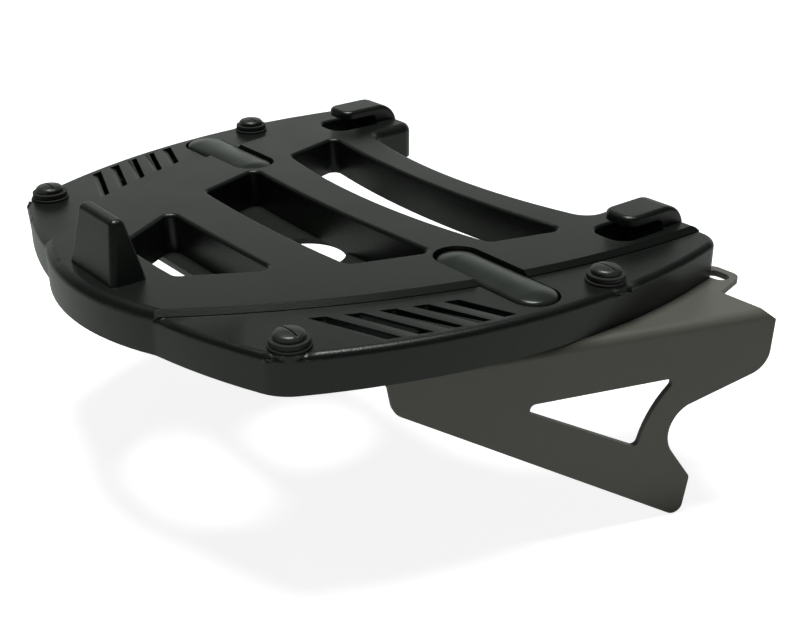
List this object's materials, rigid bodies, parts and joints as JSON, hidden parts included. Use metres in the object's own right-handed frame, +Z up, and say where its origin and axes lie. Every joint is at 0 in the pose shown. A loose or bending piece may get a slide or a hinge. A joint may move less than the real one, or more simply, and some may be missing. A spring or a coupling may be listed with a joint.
{
  "type": "top case mounting plate",
  "caption": "Ribbed plastic plate with two hooks and a tongue for a quick-release motorcycle top case, on a folded steel bracket with slotted ears.",
  "frame": {"origin": "on the flat seating face, on the centre line, above the middle of the four fixing screws", "axes": "+Z up, square to the seating face; +X forwards, to the two hooks; +Y to the left, along the longest extent"},
  "size_m": [0.275, 0.381, 0.1495],
  "materials": {
    "moulded_nylon": "fine matt grain",
    "cover_plastic": "satin",
    "painted_steel": "satin black",
    "buffer_rubber": "matt",
    "plug_plastic": "satin",
    "plated_steel": "dull plated"
  },
  "bodies": {
    "root": {"moulded_plate": "moulded_nylon", "bracket": "painted_steel", "slot_cover_left": "cover_plastic", "slot_cover_right": "cover_plastic", "buffer_ring_rear_left": "buffer_rubber", "buffer_plug_rear_left": "plug_plastic", "buffer_ring_rear_right": "buffer_rubber", "buffer_plug_rear_right": "plug_plastic", "buffer_ring_front_left": "buffer_rubber", "buffer_plug_front_left": "plug_plastic", "buffer_ring_front_right": "buffer_rubber", "buffer_plug_front_right": "plug_plastic", "fixing_screw_left_inner": "plated_steel", "washer_left_inner": "plated_steel", "lock_nut_left_inner": "plated_steel", "fixing_screw_left_outer": "plated_steel", "washer_left_outer": "plated_steel", "lock_nut_left_outer": "plated_steel", "fixing_screw_right_inner": "plated_steel", "washer_right_inner": "plated_steel", "lock_nut_right_inner": "plated_steel", "fixing_screw_right_outer": "plated_steel", "washer_right_outer": "plated_steel", "lock_nut_right_outer": "plated_steel"}
  },
  "joints": []
}
